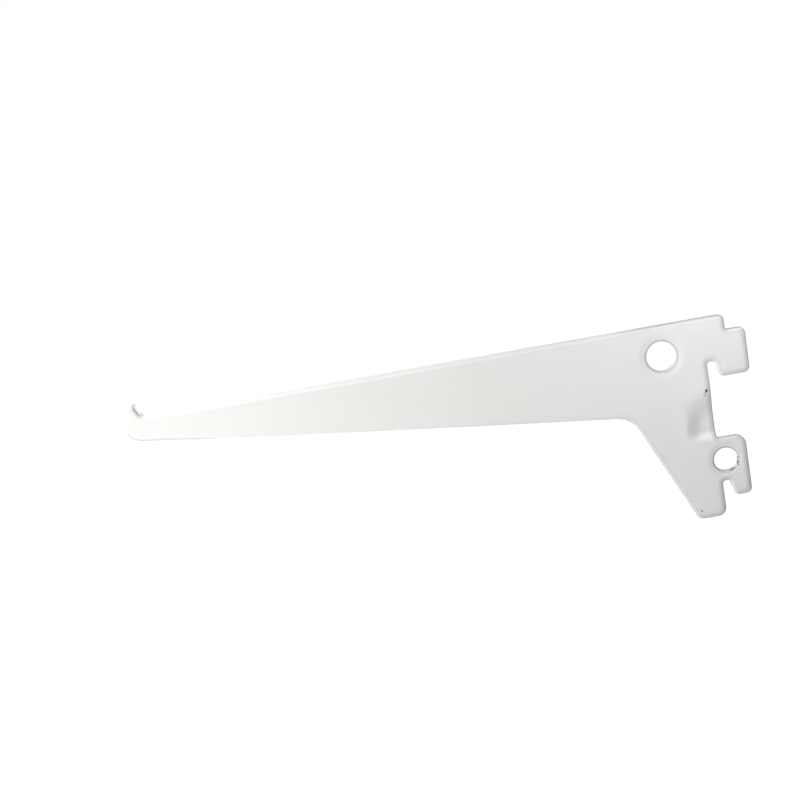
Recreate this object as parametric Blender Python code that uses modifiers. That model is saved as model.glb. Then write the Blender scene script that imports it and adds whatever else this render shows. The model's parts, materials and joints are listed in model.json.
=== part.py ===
# Slotted shelf bracket: one steel sheet, cut to shape and folded along the arm's top edge.
# The two cheeks stand apart along the arm and are pressed together at the wall end, where the
# hooks go through one row of slots in a rail.
# +X points to the wall and +Z up. X = 0 is the face of the rail, Z = 0 the seat of the upper
# hook on its slot, and Y = 0 the bracket's middle plane.

import math

import bmesh
import bpy
from mathutils import Vector

MM = 0.001

# The sheet
sheet = 1.5 * MM
inside_radius = 0.2 * MM
least_web = 0.05 * MM
arm_width = 7.8 * MM
edge_roll = 1.5 * MM
edge_drop = 0.6 * MM
edge_fade = 4.5 * MM

# The arm, measured from the rail's face and from the upper hook's seat
reach = 234.3 * MM
top_height = 18.4 * MM
tip_depth = 8.9 * MM
root_reach = 33.2 * MM
root_drop = 17.3 * MM
root_radius = 10.5 * MM
nose_radius = 6.0 * MM
shoulder_reach = 9.0 * MM
shoulder_radius = 2.6 * MM
shoulder_fillet = 1.2 * MM

# The lip that stops a shelf at the arm's tip
lip_height = 5.5 * MM
lip_length = 4.9 * MM
lip_lean = 2.2 * MM
lip_radius = 2.0 * MM
lip_fillet = 2.6 * MM

# The hooks
slot_pitch = 50.0 * MM
throat_width = 2.9 * MM
throat_flare = 1.7 * MM
throat_radius = 1.2 * MM
hook_drop = 6.7 * MM
hook_corner = 2.2 * MM
hook_tip_corner = 2.5 * MM
upper_hook_reach = 16.8 * MM
upper_hook_rise = 11.8 * MM
upper_hook_radius = 2.4 * MM
lower_hook_reach = 11.5 * MM
lower_hook_rise = 18.1 * MM
lower_hook_radius = 4.0 * MM
hook_fillet = 1.3 * MM

# The leg below the hooks
leg_drop = 14.4 * MM
leg_foot = 11.4 * MM
leg_heel_radius = 3.4 * MM
leg_toe_radius = 3.6 * MM

# The two holes, with the soft dish that punching leaves round each
large_hole = 12.0 * MM
large_hole_back = 17.7 * MM
large_hole_rise = 5.6 * MM
large_dish_width = 1.8 * MM
large_dish_depth = 0.3 * MM
small_hole = 9.6 * MM
small_hole_ahead = 2.4 * MM
small_hole_rise = 8.9 * MM
small_dish_width = 0.4 * MM
small_dish_depth = 0.1 * MM

# The stretch along which the cheeks close on each other, straight between two soft creases
closing_start = 105.0 * MM
closing_end = 12.4 * MM
closing_crease = 10.0 * MM

# The lower edges roll in towards the nose, and join under it
nose_floor = 2.0 * MM
roll_length = 42.0 * MM

# The swage between the hooks, which widens the bearing on the rail. From its top the sheet
# comes forward to a crest, slopes back to a valley and turns up again above the lower hook.
# The heights are those at the bearing, and each line falls by its slant away from there.
swage_run = 12.4 * MM
swage_wall = 3.2 * MM
swage_start = 1.5 * MM
crest_height = 1.0 * MM
crest_drop = 10.3 * MM
crest_slant = 0.45
valley_depth = 2.4 * MM
valley_rise = 9.0 * MM
valley_slant = 0.62
swage_end = 0.8 * MM
end_slant = 0.25

# Shares of each slope over which its start and its end are eased
wall_eases = (0.15, 0.4)
rise_eases = (0.4, 0.4)
fall_eases = (0.3, 0.12)
turn_eases = (0.15, 0.4)

# How finely round stretches are divided
arc_step = math.radians(15)
fold_steps = 5
edge_steps = 3
dish_steps = 2
hole_sides = 36
closing_columns = 3
crease_columns = 3
roll_columns = 9
swage_columns = 7
swage_rows = 18
crease_angle = math.radians(35)

# Points closer than this are one point, and a face this square to Y belongs to a cheek
tiny = 1e-6
merge = 1e-5
cheek_normal = 0.99

# Worked out from the sizes above
fold_radius = sheet + inside_radius
fold_line = top_height - fold_radius
arm_half = arm_width / 2
pressed_half = fold_radius + least_web
inner_face = sheet - arm_half
sheet_middle = sheet / 2 - arm_half
lower_seat = -slot_pitch
lower_hook_top = lower_seat + lower_hook_rise
lip_top = top_height + lip_height
nose_end = -reach + nose_radius + nose_floor
roll_end = nose_end + roll_length
swage_top = -swage_start
swage_bottom = lower_hook_top + swage_end - end_slant * swage_run


def smooth(t):
    t = min(max(t, 0.0), 1.0)
    return t * t * (3 - 2 * t)


def ramp(t, first, last):
    # From 0 to 1 along a straight slope, eased over a first and a last share of its length
    t = min(max(t, 0.0), 1.0)
    slope = 2 / (2 - first - last)
    if t < first:
        return slope * t * t / (2 * first)
    if t > 1 - last:
        return 1 - slope * (1 - t) ** 2 / (2 * last)
    return slope * (t - first / 2)


def edge_rows():
    # Distance from the cut edge and depth below the face, step by step round its rounding
    turns = [math.pi / 2 * (1 - step / edge_steps) for step in range(1, edge_steps + 1)]
    return [(edge_roll * (1 - math.cos(t)), edge_drop * (1 - math.sin(t))) for t in turns]


def rounded(corners):
    # Points of a run of (x, z, radius) corners with their outward normals. The run goes round
    # the bracket with the steel on its left, and its first and last corners stay sharp.
    places = [Vector(corner[:2]) for corner in corners]
    points = []
    for i, (place, corner) in enumerate(zip(places, corners)):
        before = (place - places[i - 1]).normalized() if i else None
        after = (places[i + 1] - place).normalized() if i + 1 < len(places) else before
        before = before or after
        turn = math.atan2(before.cross(after), before.dot(after))
        start = math.atan2(-before.x, before.y)
        radius = corner[2]
        if radius == 0:
            middle = start + turn / 2
            points.append((place, Vector((math.cos(middle), math.sin(middle)))))
            continue
        side = math.copysign(1, turn)
        normal = Vector((before.y, -before.x))
        centre = place - before * radius * math.tan(abs(turn) / 2) - normal * radius * side
        steps = max(2, round(abs(turn) / arc_step))
        for k in range(steps + 1):
            angle = start + turn * k / steps
            normal = Vector((math.cos(angle), math.sin(angle)))
            points.append((centre + normal * radius * side, normal))
    return points


def underside(x):
    # Height of the arm's lower edge, straight from its root to its tip
    tip = top_height - tip_depth
    return tip + (x + reach) / (reach - root_reach) * (-root_drop - tip)


def spread(first, last, parts):
    return [first + (last - first) * k / parts for k in range(parts + 1)]


def closing_stations():
    # Close together in the two creases, far apart between them
    first = -closing_start + closing_crease
    last = -closing_end - closing_crease
    stations = spread(-closing_start, first, crease_columns)
    stations += spread(first, last, closing_columns)[1:-1]
    return stations + spread(last, -closing_end, crease_columns)


def shoulder_x(z):
    # Where the rounded shoulder is at a height
    above = max(z - (top_height - shoulder_radius), 0)
    return shoulder_reach - shoulder_radius + math.sqrt(max(shoulder_radius**2 - above**2, 0))


def folded_path():
    # The run that is folded: along the top, round the lip and the nose, and a way back along
    # the underside. Each entry is a point of the outside, its normal and the fold's angle.
    last_flat = shoulder_x(top_height) - edge_roll
    top = [(shoulder_x(fold_line) - edge_roll, top_height, 0), (last_flat, top_height, 0)]
    top += [(x, top_height, 0) for x in reversed(closing_stations())]
    corners = top + [
        (-reach + lip_length + lip_lean, top_height, lip_fillet),
        (-reach + lip_length, lip_top, lip_radius),
        (-reach, lip_top, lip_radius),
        (-reach, underside(-reach), nose_radius),
        (nose_end, underside(nose_end), 0),
    ]
    path = [(point, normal, math.pi / 2) for point, normal in rounded(corners)]
    slope = path[-1][1]
    for k in range(1, roll_columns + 1):
        t = k / roll_columns
        x = nose_end + roll_length * t
        path.append((Vector((x, underside(x))), slope, math.pi / 2 * (1 - smooth(t))))
    return path


def fold_base(path):
    # The line that the flat cheek ends on and the fold starts from, in X and Z
    return [point - normal * fold_radius * math.sin(turn) for point, normal, turn in path]


def throat(seat):
    # From the hook's tip, over the seat, to the side that bears on the rail
    radius = min(throat_radius, throat_width * 0.45)
    return [
        (throat_width + throat_flare, seat - hook_drop, hook_corner),
        (throat_width, seat, radius),
        (0, seat, radius),
    ]


def cut_run(start_x):
    # The run that is cut: the rest of the underside, the leg, both hooks and the shoulder
    lower_tip = lower_seat - hook_drop
    upper_tip = -hook_drop
    leg_bottom = lower_seat - leg_drop
    run = [
        (start_x, underside(start_x), 0),
        (-root_reach, underside(-root_reach), root_radius),
        (-leg_foot, leg_bottom, leg_toe_radius),
        (0, leg_bottom, leg_heel_radius),
        *reversed(throat(lower_seat)),
        (lower_hook_reach, lower_tip, hook_tip_corner),
        (lower_hook_reach, lower_hook_top, lower_hook_radius),
        (0, lower_hook_top, hook_fillet),
        *reversed(throat(0)),
        (upper_hook_reach, upper_tip, hook_tip_corner),
        (upper_hook_reach, upper_hook_rise, upper_hook_radius),
        (shoulder_reach, upper_hook_rise, shoulder_fillet),
        (shoulder_reach, top_height, shoulder_radius),
        (shoulder_reach - 2 * shoulder_radius, top_height, 0),
    ]
    points = rounded(run)[:-1]
    below = [entry for entry in points if entry[0].x < 0 or entry[0].y < fold_line - tiny]
    below.append((Vector((shoulder_x(fold_line), fold_line)), Vector((1, 0))))
    return below


def flat_blank(outline, holes):
    # The near cheek as a flat plate, its outer face at y = -arm_half
    curve = bpy.data.curves.new("cheek_outline", "CURVE")
    curve.dimensions = "2D"
    curve.fill_mode = "BOTH"
    curve.extrude = sheet / 2
    for points in [outline, *holes]:
        spline = curve.splines.new("POLY")
        spline.points.add(len(points) - 1)
        for point, (x, z) in zip(spline.points, points):
            point.co = (x, z, 0, 1)
        spline.use_cyclic_u = True
    drawn = bpy.data.objects.new("cheek_outline", curve)
    drawn.rotation_euler = (math.pi / 2, 0, 0)
    drawn.location = (0, sheet / 2 - arm_half, 0)
    bpy.context.collection.objects.link(drawn)
    bpy.context.view_layer.update()
    graph = bpy.context.evaluated_depsgraph_get()
    mesh = bpy.data.meshes.new_from_object(drawn.evaluated_get(graph))
    mesh.transform(drawn.matrix_world)
    bpy.data.objects.remove(drawn)
    bm = bmesh.new()
    bm.from_mesh(mesh)
    bpy.data.meshes.remove(mesh)
    bmesh.ops.remove_doubles(bm, verts=bm.verts, dist=tiny)
    bmesh.ops.recalc_face_normals(bm, faces=bm.faces)
    level = [
        edge
        for edge in bm.edges
        if len(edge.link_faces) == 2 and edge.calc_face_angle(0) < tiny and lies_flat(edge)
    ]
    bmesh.ops.dissolve_edges(bm, edges=level, use_verts=False)
    return bm


def is_cheek(face):
    return abs(face.normal.y) > cheek_normal


def lies_flat(edge):
    return all(is_cheek(face) for face in edge.link_faces)


def extrude(bm, walls, place):
    # Extrudes a strip of walls and puts each new point where place says
    grown = bmesh.ops.extrude_face_region(bm, geom=walls)["geom"]
    bmesh.ops.delete(bm, geom=walls, context="FACES")
    for item in grown:
        if isinstance(item, bmesh.types.BMVert):
            item.co = place(item)
    return [item for item in grown if isinstance(item, bmesh.types.BMFace)]


def press_hole(bm, centre_x, centre_z, radius, dish_width, dish_depth):
    # Brings the wall of a hole in from the dish's rim to the hole's own radius
    centre = Vector((centre_x, 0, centre_z))
    rim = radius + dish_width + edge_roll

    def from_centre(vert):
        return Vector((vert.co.x - centre.x, 0, vert.co.z - centre.z))

    walls = [
        face
        for face in bm.faces
        if all(abs(from_centre(vert).length - rim) < merge for vert in face.verts)
    ]
    falls = [k / dish_steps for k in range(1, dish_steps + 1)]
    rows = [(rim - dish_width * fall, dish_depth * smooth(fall), 0) for fall in falls]
    rows += [(radius + distance, dish_depth, depth) for distance, depth in edge_rows()]
    for distance, dish, roll in rows:

        def place(vert):
            out = centre + from_centre(vert).normalized() * distance
            outer = vert.co.y < sheet_middle
            out.y = -arm_half + dish + roll if outer else inner_face
            return out

        walls = extrude(bm, walls, place)


def add_edges(bm, run):
    # Grows the plate to its cut edge, rounding the outer side as a punched edge is
    on_cut = bm.verts.layers.int.new("on_cut")
    normals = bm.verts.layers.float_vector.new("cut_normal")
    for vert in bm.verts:
        place = Vector((vert.co.x, vert.co.z))
        nearest, normal = min(run, key=lambda entry: (entry[0] - place).length)
        if (nearest - place).length < tiny:
            vert[on_cut] = 1
            vert[normals] = (normal.x, 0, normal.y)
    walls = [
        face
        for face in bm.faces
        if not is_cheek(face) and all(vert[on_cut] for vert in face.verts)
    ]
    done = 0
    for distance, depth in edge_rows():
        step = edge_roll - distance - done
        done += step

        def place(vert):
            out = vert.co + vert[normals] * step
            if vert.co.y < sheet_middle:
                # The rounding fades out where the lower edge starts to roll in
                fade = smooth((vert.co.x - roll_end) / edge_fade) if out.x < -root_reach else 1
                out.y = -arm_half + depth * fade
            return out

        walls = extrude(bm, walls, place)


def fold(bm, path):
    # Turns the sheet over along the path, up to the middle plane where the fold is a full one
    base = fold_base(path)
    on_fold = bm.verts.layers.int.new("on_fold")
    normals = bm.verts.layers.float_vector.new("fold_normal")
    turns = bm.verts.layers.float.new("turn")
    depths = bm.verts.layers.float.new("depth")
    for vert in bm.verts:
        vert[depths] = vert.co.y + arm_half
        place = Vector((vert.co.x, vert.co.z))
        for i in range(len(path) - 1):
            along = base[i + 1] - base[i]
            t = min(max((place - base[i]).dot(along) / along.length_squared, 0), 1)
            if (base[i] + along * t - place).length < tiny:
                normal = path[i][1].lerp(path[i + 1][1], t).normalized()
                vert[normals] = (normal.x, 0, normal.y)
                vert[turns] = path[i][2] + (path[i + 1][2] - path[i][2]) * t
                vert[on_fold] = 1
                break
        past_end = place - base[0]
        if 0 < past_end.x < 2 * edge_roll and abs(past_end.y) < tiny:
            # The rounded edge at the shoulder goes over with the fold
            vert[normals] = (0, 0, 1)
            vert[turns] = math.pi / 2
            vert[on_fold] = 1
    walls = [
        face
        for face in bm.faces
        if not is_cheek(face) and all(vert[on_fold] for vert in face.verts)
    ]
    bend_y = fold_radius - arm_half
    for step in range(1, fold_steps + 1):

        def place(vert):
            normal = vert[normals]
            angle = vert[turns] * step / fold_steps
            before = vert[turns] * (step - 1) / fold_steps
            radius = fold_radius - vert[depths]
            out = vert.co + normal * radius * (math.sin(angle) - math.sin(before))
            out.y = bend_y - radius * math.cos(angle)
            return out

        walls = extrude(bm, walls, place)
    full = [face for face in walls if all(vert[turns] > math.pi / 2 - tiny for vert in face.verts)]

    def to_middle(vert):
        return Vector((vert.co.x, 0, vert.co.z))

    open_ends = extrude(bm, full, to_middle)
    bmesh.ops.delete(bm, geom=open_ends, context="FACES")
    bmesh.ops.remove_doubles(bm, verts=bm.verts, dist=tiny)


def round_shoulder(bm):
    # The fold's end at the wall follows the shoulder's corner
    start = shoulder_x(top_height) - edge_roll
    end = shoulder_x(fold_line)
    for vert in bm.verts:
        if vert.co.x > start + tiny and vert.co.z > fold_line + tiny:
            share = (shoulder_x(vert.co.z) - start) / (end - start)
            vert.co.x = start + (vert.co.x - start) * share


def divide(bm, axis, places, lows, highs):
    # Cuts the faces inside a box by planes across one axis
    for place in places:
        faces = [
            face
            for face in bm.faces
            if all(
                low - merge <= value <= high + merge
                for vert in face.verts
                for value, low, high in zip(vert.co, lows, highs)
            )
        ]
        edges = {edge for face in faces for edge in face.edges}
        verts = {vert for face in faces for vert in face.verts}
        point = [0, 0, 0]
        point[axis] = place
        direction = [0, 0, 0]
        direction[axis] = 1
        bmesh.ops.bisect_plane(
            bm,
            geom=[*verts, *edges, *faces],
            dist=merge,
            plane_co=point,
            plane_no=direction,
        )


def divide_for_pressing(bm):
    # Gives the sheet points to bend at, where the cheeks close and where the swage is
    far = reach + slot_pitch
    lowest = (-far, -far, -far)
    highest = (far, far, far)
    divide(bm, 0, [*closing_stations(), -swage_run], lowest, highest)
    rows = spread(swage_top, swage_bottom, swage_rows)
    divide(bm, 2, rows, (-swage_run, -far, -far), highest)
    columns = spread(-swage_run, 0, swage_columns)[1:-1]
    divide(bm, 0, columns, (-swage_run, -far, swage_bottom), (far, far, swage_top))


def mirrored(bm):
    # Both cheeks, joined along the middle plane
    mesh = bpy.data.meshes.new("half")
    bm.to_mesh(mesh)
    bm.free()
    half = bpy.data.objects.new("half", mesh)
    bpy.context.collection.objects.link(half)
    mirror = half.modifiers.new("other_cheek", "MIRROR")
    mirror.use_axis = (False, True, False)
    mirror.use_mirror_merge = True
    mirror.merge_threshold = merge
    bpy.context.view_layer.update()
    graph = bpy.context.evaluated_depsgraph_get()
    whole = bpy.data.meshes.new_from_object(half.evaluated_get(graph))
    bpy.data.objects.remove(half)
    bpy.data.meshes.remove(mesh)
    return whole


def half_width(x):
    run = closing_start - closing_end
    crease = closing_crease / run
    closed = ramp((x + closing_start) / run, crease, crease)
    return arm_half + (pressed_half - arm_half) * closed


def swage(x, z):
    # Sideways push of both layers between the hooks, negative towards the near side
    crest = crest_slant * x - crest_drop
    valley = valley_slant * x + lower_hook_top + valley_rise
    end = end_slant * x + lower_hook_top + swage_end
    forward = ramp((x + swage_run) / swage_run, *rise_eases) * crest_height
    back = ramp((x + swage_run) / swage_wall, *wall_eases) * valley_depth
    if z > crest:
        return -forward * ramp((swage_top - z) / (swage_top - crest), *rise_eases)
    if z > valley:
        return (forward + back) * ramp((crest - z) / (crest - valley), *fall_eases) - forward
    return back * (1 - ramp((valley - z) / (valley - end), *turn_eases))


def press(mesh):
    # Closes the cheeks on each other, then swages the edge between the hooks
    web_half = arm_half - fold_radius
    for vert in mesh.vertices:
        x, y, z = vert.co
        side = math.copysign(1, y)
        narrowing = arm_half - half_width(x)
        if abs(y) > web_half:
            y -= side * narrowing
        else:
            y *= (web_half - narrowing) / web_half
        if x < throat_width / 4 and swage_bottom < z < swage_top:
            y += swage(x, z)
        vert.co.y = y


def powder_coat():
    material = bpy.data.materials.new("white_powder_coat")
    material.use_nodes = True
    shader = material.node_tree.nodes["Principled BSDF"]
    shader.inputs["Base Color"].default_value = (0.83, 0.83, 0.81, 1)
    shader.inputs["Metallic"].default_value = 0.0
    shader.inputs["Roughness"].default_value = 0.38
    return material


def circle(centre_x, centre_z, radius):
    angles = [2 * math.pi * k / hole_sides for k in range(hole_sides)]
    return [(centre_x + radius * math.cos(a), centre_z + radius * math.sin(a)) for a in angles]


def bracket():
    path = folded_path()
    run = cut_run(path[-1][0].x)
    inset = [(point - normal * edge_roll, normal) for point, normal in run]
    inset[0] = (run[0][0], Vector((0, 0)))
    large = (-large_hole_back, large_hole_rise, large_hole / 2)
    small = (small_hole_ahead, lower_seat + small_hole_rise, small_hole / 2)
    holes = [
        (*large, large_dish_width, large_dish_depth),
        (*small, small_dish_width, small_dish_depth),
    ]
    rims = [circle(x, z, radius + width + edge_roll) for x, z, radius, width, _ in holes]
    outline = fold_base(path) + [point for point, _ in inset[1:-1]]
    bm = flat_blank(outline, rims)
    for hole in holes:
        press_hole(bm, *hole)
    add_edges(bm, inset)
    fold(bm, path)
    round_shoulder(bm)
    divide_for_pressing(bm)
    bmesh.ops.recalc_face_normals(bm, faces=bm.faces)
    mesh = mirrored(bm)
    press(mesh)
    mesh.name = "bracket"
    mesh.shade_smooth()
    mesh.set_sharp_from_angle(angle=crease_angle)
    mesh.materials.append(powder_coat())
    return mesh


def main():
    for old in list(bpy.data.objects):
        bpy.data.objects.remove(old)
    group = bpy.data.collections.new("shelf_bracket")
    bpy.context.scene.collection.children.link(group)
    group.objects.link(bpy.data.objects.new("bracket", bracket()))


main()
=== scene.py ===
# Slotted shelf bracket in white powder coat, seen a little from above with its arm to the left.
# +X points to the wall and +Z up, in metres. X = 0 is the rail's face, Z = 0 the upper hook's seat.

import json
import math

import bpy
from mathutils import Matrix, Vector
from mathutils.kdtree import KDTree

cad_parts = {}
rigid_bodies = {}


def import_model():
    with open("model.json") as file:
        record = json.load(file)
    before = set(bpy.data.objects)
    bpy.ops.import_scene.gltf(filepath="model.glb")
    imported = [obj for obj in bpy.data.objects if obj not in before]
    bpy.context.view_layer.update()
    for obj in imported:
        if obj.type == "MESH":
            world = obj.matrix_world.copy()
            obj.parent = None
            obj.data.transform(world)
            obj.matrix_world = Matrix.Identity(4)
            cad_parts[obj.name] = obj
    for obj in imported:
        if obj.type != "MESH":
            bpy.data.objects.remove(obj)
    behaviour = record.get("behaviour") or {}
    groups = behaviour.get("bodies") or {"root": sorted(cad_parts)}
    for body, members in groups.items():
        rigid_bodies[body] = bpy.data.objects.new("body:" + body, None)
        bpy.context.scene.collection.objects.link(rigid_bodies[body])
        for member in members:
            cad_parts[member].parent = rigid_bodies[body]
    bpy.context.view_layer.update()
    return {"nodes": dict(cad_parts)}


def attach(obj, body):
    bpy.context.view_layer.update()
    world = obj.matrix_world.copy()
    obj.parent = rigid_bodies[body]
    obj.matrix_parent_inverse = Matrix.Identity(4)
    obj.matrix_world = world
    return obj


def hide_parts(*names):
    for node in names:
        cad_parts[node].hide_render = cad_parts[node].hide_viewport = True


mm = 0.001
plainWhite = (1, 1, 1, 1)

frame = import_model()
print("frame loaded")


# Camera: about half a metre off, looking down a little and turned on its side a little
cameraView = {
    "place": (-114.45 * mm, -540.4 * mm, 113.0 * mm),
    "aim": (-123.85 * mm, 0, 6.5 * mm),
    "roll": math.radians(-10.264),
    "lens": 61.56,
    "sensor": 36.0,
}


def placeCamera():
    bpy.ops.object.camera_add(location=cameraView["place"])
    camera = bpy.context.object
    camera.name = "photoCamera"
    forward = Vector(cameraView["aim"]) - Vector(cameraView["place"])
    level = forward.to_track_quat("-Z", "Y").to_matrix()
    camera.rotation_euler = (level @ Matrix.Rotation(cameraView["roll"], 3, "Z")).to_euler()
    camera.data.lens = cameraView["lens"]
    camera.data.sensor_width = cameraView["sensor"]
    bpy.context.scene.camera = camera
    print("camera placed")


# Nodes: each function adds one, from a socket or a plain value for every input
def addNode(tree, kind, inputs=None, **settings):
    node = tree.nodes.new(kind)
    for name, value in settings.items():
        setattr(node, name, value)
    for name, value in (inputs or {}).items():
        if isinstance(value, bpy.types.NodeSocket):
            tree.links.new(value, node.inputs[name])
        else:
            node.inputs[name].default_value = value
    return node


def addMath(tree, operation, first, second=0.0):
    inputs = {0: first, 1: second}
    return addNode(tree, "ShaderNodeMath", inputs, operation=operation).outputs["Value"]


def addDistance(tree, first, second):
    inputs = {0: first, 1: second}
    return addNode(tree, "ShaderNodeVectorMath", inputs, operation="DISTANCE").outputs["Value"]


def addRange(tree, value, fromEnds=(0.0, 1.0), toEnds=(0.0, 1.0), curve="LINEAR"):
    inputs = {
        "Value": value,
        "From Min": fromEnds[0],
        "From Max": fromEnds[1],
        "To Min": toEnds[0],
        "To Max": toEnds[1],
    }
    node = addNode(tree, "ShaderNodeMapRange", inputs, interpolation_type=curve)
    return node.outputs["Result"]


def addNoise(tree, place, size, detail, roughness=0.5):
    inputs = {"Vector": place, "Scale": 1 / size, "Detail": detail, "Roughness": roughness}
    return addNode(tree, "ShaderNodeTexNoise", inputs).outputs["Fac"]


def addMix(tree, share, first, second):
    # Mix keeps its colour sockets, 6 and 7, apart from its number ones
    inputs = {"Factor": share, 6: first, 7: second}
    return addNode(tree, "ShaderNodeMix", inputs, data_type="RGBA").outputs[2]


def addBump(tree, height, depth, normal=None, inward=False):
    inputs = {"Height": height, "Distance": depth}
    if normal:
        inputs["Normal"] = normal
    return addNode(tree, "ShaderNodeBump", inputs, invert=inward).outputs["Normal"]


def newMaterial(name):
    material = bpy.data.materials.new(name)
    material.use_nodes = True
    return material, material.node_tree, material.node_tree.nodes["Principled BSDF"]


# The two holes: centre in X and Z, radius, and how far round the edge nothing is softened
holes = {
    "large": ((-17.7 * mm, 5.6 * mm), 6.0 * mm, 5.0 * mm),
    "small": ((2.4 * mm, -41.1 * mm), 4.8 * mm, 1.8 * mm),
}

# White powder coat
coat = {
    "white": (0.83, 0.83, 0.81, 1),
    "shade": (0.80, 0.80, 0.775, 1),  # a slightly other white, in patches
    "patch": 35 * mm,
    "patchDetail": 3.0,
    "patchRoughness": 0.6,
    "roughness": (0.34, 0.42),
    "metallic": 0.0,
    "wave": 14 * mm,  # slow waves that the presses leave in the sheet
    "waveDetail": 1.0,
    "waveDepth": 0.05 * mm,
    "peel": 0.9 * mm,  # width of the orange peel's bumps
    "peelDetail": 2.0,
    "peelDepth": 0.006 * mm,
    "paintedShade": (0.54, 0.54, 0.53, 1),  # painted shade along the cut edges and the holes' rims, a darker white in place of their shading
    "paintedShadeAttribute": "paintedEdgeShade",  # the attribute that says where
}

# Painted shade round the holes' rims, on the outer faces: the coat's white darkened there
paintedRimShade = {
    "wide": 1.2 * mm,  # it fades out over this distance from the edge
    "full": 0.5 * mm,  # and is full up to here
    "outside": (0.9 * mm, 1.1 * mm),  # it comes in over these distances from the middle plane
    "share": 0.9,
}

# Chips in the coat, as place and radius, in millimetres
chips = {
    "places": [
        ((-1.9, -2.0, -11.4), 0.55),
        ((-1.6, -2.0, -11.3), 0.45),
        ((-2.3, -2.0, -12.1), 0.27),
        ((-2.9, -1.9, -13.2), 0.27),
        ((7.2, -1.1, -41.1), 0.5),
        ((7.0, -1.0, -42.5), 0.5),
        ((6.9, -1.3, -43.1), 0.55),
        ((7.1, -1.6, -44.1), 0.3),
        ((3.9, -1.2, -45.8), 0.4),
        ((4.6, -1.1, -45.4), 0.6),
        ((5.4, -1.4, -45.1), 0.35),
        ((-10.2, -1.75, -60.8), 0.36),
    ],
    "fade": 0.15,  # share of its radius, in and out, over which a chip fades
    "ragged": 0.22 * mm,  # how far the edge of a chip wanders
    "grain": 0.45 * mm,
    "grainDetail": 2.0,
    "colour": (0.10, 0.098, 0.09, 1),
    "depth": 0.06 * mm,
}


def paintedEdgeShade(tree, place):
    # How much painted shade darkens the coat: by the attribute along the cut edges, or round a hole
    # on the outer faces
    part = addNode(tree, "ShaderNodeSeparateXYZ", {"Vector": place}).outputs
    level = addNode(tree, "ShaderNodeCombineXYZ", {"X": part["X"], "Z": part["Z"]})
    out = addMath(tree, "ABSOLUTE", part["Y"])
    outside = addRange(tree, out, paintedRimShade["outside"], (0, paintedRimShade["share"]))
    paintedShade = addNode(tree, "ShaderNodeAttribute", attribute_name=coat["paintedShadeAttribute"]).outputs["Fac"]
    for (x, z), radius, _ in holes.values():
        away = addDistance(tree, level.outputs["Vector"], (x, 0, z))
        ends = (radius + paintedRimShade["wide"], radius + paintedRimShade["full"])
        rim = addRange(tree, away, ends, curve="SMOOTHSTEP")
        rim = addMath(tree, "MULTIPLY", rim, outside)
        paintedShade = addMath(tree, "MAXIMUM", paintedShade, rim)
    return paintedShade


def chippedCoat(tree, place):
    # Where the coat is chipped off: inside any of the chips' ragged edges
    grain = addNoise(tree, place, chips["grain"], chips["grainDetail"])
    wander = addRange(tree, grain, toEnds=(-chips["ragged"], chips["ragged"]))
    bare = None
    for centre, radius in chips["places"]:
        away = addDistance(tree, place, tuple(part * mm for part in centre))
        edge = addMath(tree, "ADD", away, wander)
        outer = radius * mm * (1 + chips["fade"])
        inner = radius * mm * (1 - chips["fade"])
        chip = addRange(tree, edge, (outer, inner))
        bare = addMath(tree, "MAXIMUM", bare, chip) if bare else chip
    return bare


def powderCoat():
    material, tree, shader = newMaterial("whitePowderCoat")
    place = addNode(tree, "ShaderNodeTexCoord").outputs["Object"]
    patches = addNoise(tree, place, coat["patch"], coat["patchDetail"], coat["patchRoughness"])
    bare = chippedCoat(tree, place)
    tone = addMix(tree, patches, coat["white"], coat["shade"])
    # painted shade: the white is darkened along the cut edges and round the holes' rims
    edges = addMix(tree, paintedEdgeShade(tree, place), tone, coat["paintedShade"])
    colour = addMix(tree, bare, edges, chips["colour"])
    gloss = addRange(tree, patches, toEnds=coat["roughness"])
    waves = addNoise(tree, place, coat["wave"], coat["waveDetail"])
    slow = addBump(tree, waves, coat["waveDepth"])
    peel = addNoise(tree, place, coat["peel"], coat["peelDetail"])
    fine = addBump(tree, peel, coat["peelDepth"], slow)
    pits = addBump(tree, bare, chips["depth"], fine, inward=True)
    tree.links.new(colour, shader.inputs["Base Color"])
    tree.links.new(gloss, shader.inputs["Roughness"])
    tree.links.new(pits, shader.inputs["Normal"])
    shader.inputs["Metallic"].default_value = coat["metallic"]
    return material


# The coated sheet: the solid's own surface, cut finer where it is pressed
sheet = {
    "node": "bracket",
    "weld": 0.002 * mm,
    "crease": math.radians(40),
    "cut": 0.8 * mm,  # distance between the finer cuts
    "cutLow": (-36.0 * mm, -64.0 * mm),  # X and Z where they start
    "cutHigh": (16.4 * mm, 18.0 * mm),
    "flat": 0.9995,  # a face this square to Y is flat cheek
    "half": 1.75 * mm,  # from the middle plane to the pressed cheek's face
    "soft": 1.1 * mm,  # how far past the coined edge the cheek still dips
    "dip": 0.07 * mm,  # and by how much, where the coining starts
    "coin": 0.6 * mm,  # depth of the coining at the very edge
    "coinDip": 0.12 * mm,  # what is added half-way down it
    "softFrom": (-40.0 * mm, -26.0 * mm),  # X where this fades in
    "paintedShade": 0.35,  # share of the painted edge shade where the coining starts
}

# The dish pressed round the large hole, drawn in to a narrower ring
dish = {
    "wide": 1.8 * mm,  # as it is in the solid
    "ring": 1.1 * mm,  # as it is drawn in
    "keep": 0.45,  # share of its depth
    "reach": 3.2 * mm,  # nothing moves further out
    "deep": 0.3 * mm,  # depth in the solid, at the hole's edge
    "outside": 1.2 * mm,  # distance from the middle plane of all that moves up
}

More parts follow.
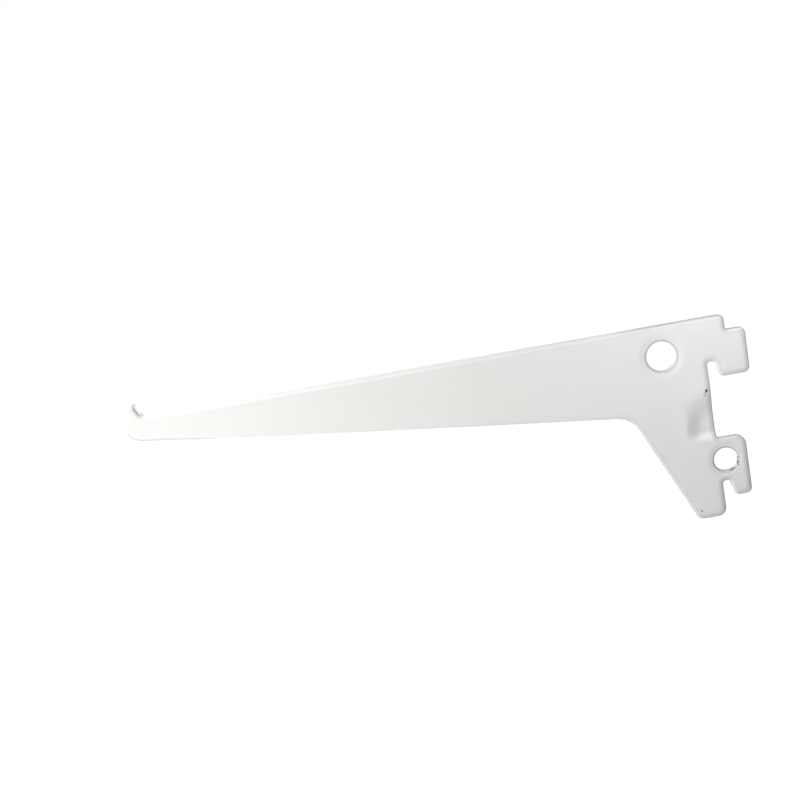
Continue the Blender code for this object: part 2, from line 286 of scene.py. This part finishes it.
# The swage between the hooks, with the sizes that the solid has. Downwards it goes forward to a
# crest, back to a valley, and from a turn forward again to its end. These four are lines across
# it, as height at X = 0 and slant. Eases are the shares of a slope that are rounded at its ends.
swage = {
    "left": -12.4 * mm,
    "right": 0.725 * mm,
    "top": -1.5 * mm,
    "bottom": -34.2 * mm,
    "neck": -34.2 * mm,  # below this it runs on to the right
    "reach": 0.725 * mm,  # as far as this
    "wall": 3.2 * mm,  # width of the slope at the left
    "corner": 0.0,  # how much the wall leans to the right below the turn
    "crest": (-10.3 * mm, 0.45),
    "valley": (-22.9 * mm, 0.62),
    "turn": (-22.9 * mm, 0.62),
    "end": (-31.1 * mm, 0.25),
    "forward": 1.0 * mm,  # push at the crest
    "back": 2.4 * mm,  # push at the valley
    "wallEases": (0.15, 0.4),
    "riseEases": (0.4, 0.4),
    "fallEases": (0.3, 0.12),
    "turnEases": (0.15, 0.4),
}

# The same swage as the press left it: a wider wall, a floor, and a turn that ends in the neck
pressed = {
    **swage,
    "left": -11.7 * mm,
    "bottom": -38.0 * mm,
    "neck": -28.0 * mm,
    "reach": 13.0 * mm,
    "wall": 7.0 * mm,
    "corner": 0.11,
    "crest": (-8.5 * mm, 0.4),
    "valley": (-21.2 * mm, 0.68),
    "turn": (-28.0 * mm, 0.06),
    "end": (-33.4 * mm, -0.14),
    "forward": 0.3 * mm,
    "back": 1.6 * mm,
    "wallEases": (0.05, 0.45),
    "riseEases": (0.33, 0.2),
    "fallEases": (0.37, 0.23),
    "turnEases": (0.3, 0.45),
}


def ramp(t, eases):
    # From 0 to 1 along a slope whose two ends are eased
    first, last = eases
    t = min(max(t, 0.0), 1.0)
    slope = 2 / (2 - first - last)
    if t < first:
        return slope * t * t / (2 * first)
    if t > 1 - last:
        return 1 - slope * (1 - t) ** 2 / (2 * last)
    return slope * (t - first / 2)


def heightAt(line, x):
    return line[0] + line[1] * x


def swagePush(form, x, z):
    # How far the sheet is pushed back at this place, or forward where it is below zero
    right, reach = form["right"], form["reach"]
    if not (form["left"] < x < reach and form["bottom"] < z < form["top"]):
        return 0
    if x > right and z > form["neck"]:
        return 0
    crest = heightAt(form["crest"], x)
    valley = heightAt(form["valley"], x)
    turn = min(heightAt(form["turn"], x), valley)
    end = heightAt(form["end"], x)
    fromLeft = x - form["left"]
    fromWall = fromLeft - form["corner"] * max(turn - z, 0)
    forward = form["forward"] * ramp(-fromLeft / form["left"], form["riseEases"])
    back = form["back"] * ramp(fromWall / form["wall"], form["wallEases"])
    if x > right:
        back *= ramp((reach - x) / (reach - right), form["riseEases"])
    if z > crest:
        down = (form["top"] - z) / (form["top"] - crest)
        return -forward * ramp(down, form["riseEases"])
    if z > valley:
        down = (crest - z) / (crest - valley)
        return (forward + back) * ramp(down, form["fallEases"]) - forward
    return back * (1 - ramp((turn - z) / (turn - end), form["turnEases"]))


def pressSwage(piece, form, share):
    for vert in piece.data.vertices:
        vert.co.y += share * swagePush(form, vert.co.x, vert.co.z)


def cutFiner():
    # Straight cuts across X and Z, over all that is in their way
    bpy.ops.object.mode_set(mode="EDIT")
    for axis, normal in ((0, (1, 0, 0)), (1, (0, 0, 1))):
        start = sheet["cutLow"][axis]
        count = round((sheet["cutHigh"][axis] - start) / sheet["cut"])
        for k in range(count + 1):
            bpy.ops.mesh.select_all(action="SELECT")
            bpy.ops.mesh.bisect(
                plane_co=tuple(part * (start + k * sheet["cut"]) for part in normal),
                plane_no=normal,
                threshold=sheet["weld"],
            )
    bpy.ops.object.mode_set(mode="OBJECT")


def atHole(place):
    return any(
        math.hypot(place.x - x, place.z - z) < radius + free
        for (x, z), radius, free in holes.values()
    )


def softenEdges(piece):
    # The pressed cheeks dip a little before their coined edges, and further down these. Along them
    # an attribute marks where painted shade darkens the coat's colour.
    mesh = piece.data
    paintedShade = mesh.attributes.new(coat["paintedShadeAttribute"], "FLOAT", "POINT").data
    onFlat, onCoin = set(), set()
    for face in mesh.polygons:
        isFlat = abs(face.normal.y) > sheet["flat"]
        (onFlat if isFlat else onCoin).update(face.vertices)
    inner = sheet["half"] - sheet["coin"] - sheet["weld"]
    outer = {index for index in onFlat if abs(mesh.vertices[index].co.y) > inner}
    edges = {index for index in outer & onCoin if not atHole(mesh.vertices[index].co)}
    tree = KDTree(len(edges))
    for index in edges:
        tree.insert(mesh.vertices[index].co, index)
    tree.balance()
    start, full = sheet["softFrom"]
    for vert in mesh.vertices:
        depth = sheet["half"] - abs(vert.co.y)
        fade = min(max((vert.co.x - start) / (full - start), 0), 1)
        if fade == 0 or atHole(vert.co):
            continue
        if depth > sheet["coin"] + sheet["weld"]:  # the cut edge's own face, or the inside
            paintedShade[vert.index].value = fade if vert.index in onCoin else 0
            continue
        if vert.index in outer:
            near = max(1 - tree.find(vert.co)[2] / sheet["soft"], 0)
            dip = sheet["dip"] * near * near
            paintedShare = sheet["paintedShade"] * near * near
        elif vert.index in onFlat:
            continue
        else:  # on the coining
            share = min(max(depth / sheet["coin"], 0), 1)
            hollow = 4 * share * (1 - share)  # 1 half-way down
            dip = sheet["dip"] * (1 - share) + sheet["coinDip"] * hollow
            paintedShare = sheet["paintedShade"] + (1 - sheet["paintedShade"]) * share * share
        vert.co.y -= math.copysign(dip * fade, vert.co.y)
        paintedShade[vert.index].value = paintedShare * fade


def narrowDish(piece):
    # The dish's faces are drawn in towards the hole's edge and raised, those round it stretched
    (centreX, centreZ), radius, _ = holes["large"]
    for vert in piece.data.vertices:
        x, z = vert.co.x - centreX, vert.co.z - centreZ
        away = math.hypot(x, z) - radius
        if not -sheet["weld"] < away < dish["reach"]:
            continue
        if away < dish["wide"]:
            new = away * dish["ring"] / dish["wide"]
        else:
            share = (away - dish["wide"]) / (dish["reach"] - dish["wide"])
            new = dish["ring"] + share * (dish["reach"] - dish["ring"])
        if abs(vert.co.y) > dish["outside"] and away < dish["wide"]:
            raised = (1 - dish["keep"]) * dish["deep"] * (1 - max(away, 0) / dish["wide"])
            vert.co.y += math.copysign(raised, vert.co.y)
        scale = (radius + new) / (radius + away)
        vert.co.x = centreX + x * scale
        vert.co.z = centreZ + z * scale


def mergedCopy(node, name):
    # A copy that keeps none of the node's own marks, with its loose triangles merged
    bpy.ops.object.select_all(action="DESELECT")
    node.select_set(True)
    bpy.context.view_layer.objects.active = node
    bpy.ops.object.duplicate()
    piece = bpy.context.object
    piece.name = name
    for key in list(piece.keys()):
        del piece[key]
    bpy.ops.object.parent_clear(type="CLEAR_KEEP_TRANSFORM")
    bpy.ops.object.mode_set(mode="EDIT")
    bpy.ops.mesh.select_all(action="SELECT")
    bpy.ops.mesh.remove_doubles(threshold=sheet["weld"])
    bpy.ops.mesh.tris_convert_to_quads()
    bpy.ops.object.mode_set(mode="OBJECT")
    return piece


def smoothShading(piece):
    bpy.ops.object.shade_smooth_by_angle(angle=sheet["crease"])
    bpy.ops.object.modifier_add(type="WEIGHTED_NORMAL")
    piece.modifiers[-1].keep_sharp = True
    bpy.ops.object.modifier_apply(modifier=piece.modifiers[-1].name)


def coatedSheet():
    piece = mergedCopy(frame["nodes"][sheet["node"]], "coatedBracket")
    pressSwage(piece, swage, -1)  # flat again, so that the finer cuts can follow the curve
    cutFiner()
    softenEdges(piece)
    narrowDish(piece)
    pressSwage(piece, pressed, 1)
    smoothShading(piece)
    piece.data.materials.clear()
    piece.data.materials.append(powderCoat())
    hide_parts(sheet["node"])
    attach(piece, "root")
    print("bracket coated,", len(piece.data.polygons), "faces")


# Floor far below the hanging bracket, plain white to the camera
ground = {
    "size": 8.0,
    "below": 0.30,
    "colour": (0.80, 0.80, 0.80, 1),
    "roughness": 0.9,
    "lift": 1.0,  # what the camera sees on top of the lit floor
}


def placeFloor():
    bpy.ops.mesh.primitive_plane_add(size=ground["size"], location=(0, 0, -ground["below"]))
    floor = bpy.context.object
    floor.name = "floor"
    material, tree, shader = newMaterial("paleFloor")
    path = addNode(tree, "ShaderNodeLightPath")
    lift = addMath(tree, "MULTIPLY", path.outputs["Is Camera Ray"], ground["lift"])
    shader.inputs["Base Color"].default_value = ground["colour"]
    shader.inputs["Roughness"].default_value = ground["roughness"]
    shader.inputs["Emission Color"].default_value = plainWhite
    tree.links.new(lift, shader.inputs["Emission Strength"])
    floor.data.materials.append(material)
    print("floor laid")


# Soft studio light: name, place, aim, size, power and colour, in metres and watts
middle = (-0.11, 0, 0)  # of the bracket's length
lamps = {
    "boxes": [
        ("leftLowBox", (-0.32, -0.3, -0.2), middle, 0.25, 1.32, (1, 0.995, 1)),
        ("topBox", (-0.15, -0.12, 0.25), middle, 0.12, 0.12, (1, 1, 1)),
        ("leftTopBox", (-0.35, -0.1, 0.3), middle, 0.12, 1.27, (1, 0.995, 1)),
        ("rightBox", (0.4, -0.1, -0.2), middle, 0.12, 0.04, (1, 1, 1)),
        ("hookBox", (0.03, -0.1, 0.07), (0, 0, 0.01), 0.06, 0.075, (0.97, 0.99, 1)),
        ("backBox", (-0.11, 0.6, -0.15), middle, 0.5, 3.2, (1, 1, 1)),
    ],
    "room": 0.05,  # light of the white room on the bracket
    "backdrop": 1.0,  # how bright the camera and the gloss see it
}


def placeLamps():
    for name, place, aim, size, power, colour in lamps["boxes"]:
        bpy.ops.object.light_add(type="AREA", location=place)
        lamp = bpy.context.object
        lamp.name = name
        lamp.data.energy = power
        lamp.data.size = size
        lamp.data.color = colour
        toAim = Vector(aim) - Vector(place)
        lamp.rotation_euler = toAim.to_track_quat("-Z", "Y").to_euler()
    world = bpy.data.worlds.new("whiteRoom")
    bpy.context.scene.world = world
    world.use_nodes = True
    tree = world.node_tree
    rays = addNode(tree, "ShaderNodeLightPath").outputs
    seen = addMath(tree, "MAXIMUM", rays["Is Camera Ray"], rays["Is Glossy Ray"])
    strength = addRange(tree, seen, toEnds=(lamps["room"], lamps["backdrop"]))
    shader = tree.nodes["Background"]
    shader.inputs["Color"].default_value = plainWhite
    tree.links.new(strength, shader.inputs["Strength"])
    print("lamps set")


placeCamera()
coatedSheet()
placeFloor()
placeLamps()
bpy.context.scene.view_settings.view_transform = "Standard"
